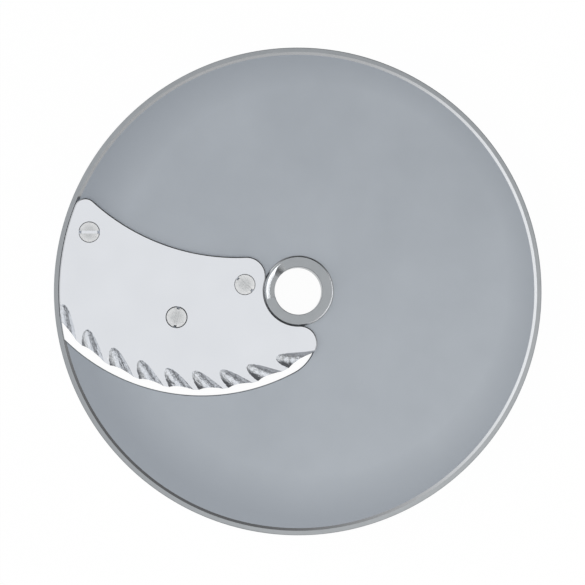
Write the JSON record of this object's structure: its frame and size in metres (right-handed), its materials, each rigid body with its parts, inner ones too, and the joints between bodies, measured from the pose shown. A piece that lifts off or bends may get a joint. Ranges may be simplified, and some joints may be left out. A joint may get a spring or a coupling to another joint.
{
  "type": "waffle cut disc",
  "caption": "Cast cutting disc with a fluted sickle blade over a curved throat, for waffle slices in a vegetable preparation machine.",
  "frame": {"origin": "on the hub's axis, in the plane of the hub's lower seat face", "axes": "+Z along the hub's axis from the seat face to the blade side, +X to the picture's right and +Y to its top; seen from above, the disc turns counterclockwise in use"},
  "size_m": [0.205, 0.205, 0.015],
  "materials": {
    "blasted_aluminium": "satin blasted casting with a turned rim and hub face",
    "polished_steel": "mirror polished stainless steel",
    "screw_steel": "fine turned stainless steel"
  },
  "bodies": {
    "root": {"disc": "blasted_aluminium", "blade": "polished_steel", "outer_blade_screw": "screw_steel", "middle_blade_screw": "screw_steel", "inner_blade_screw": "screw_steel"}
  },
  "joints": []
}
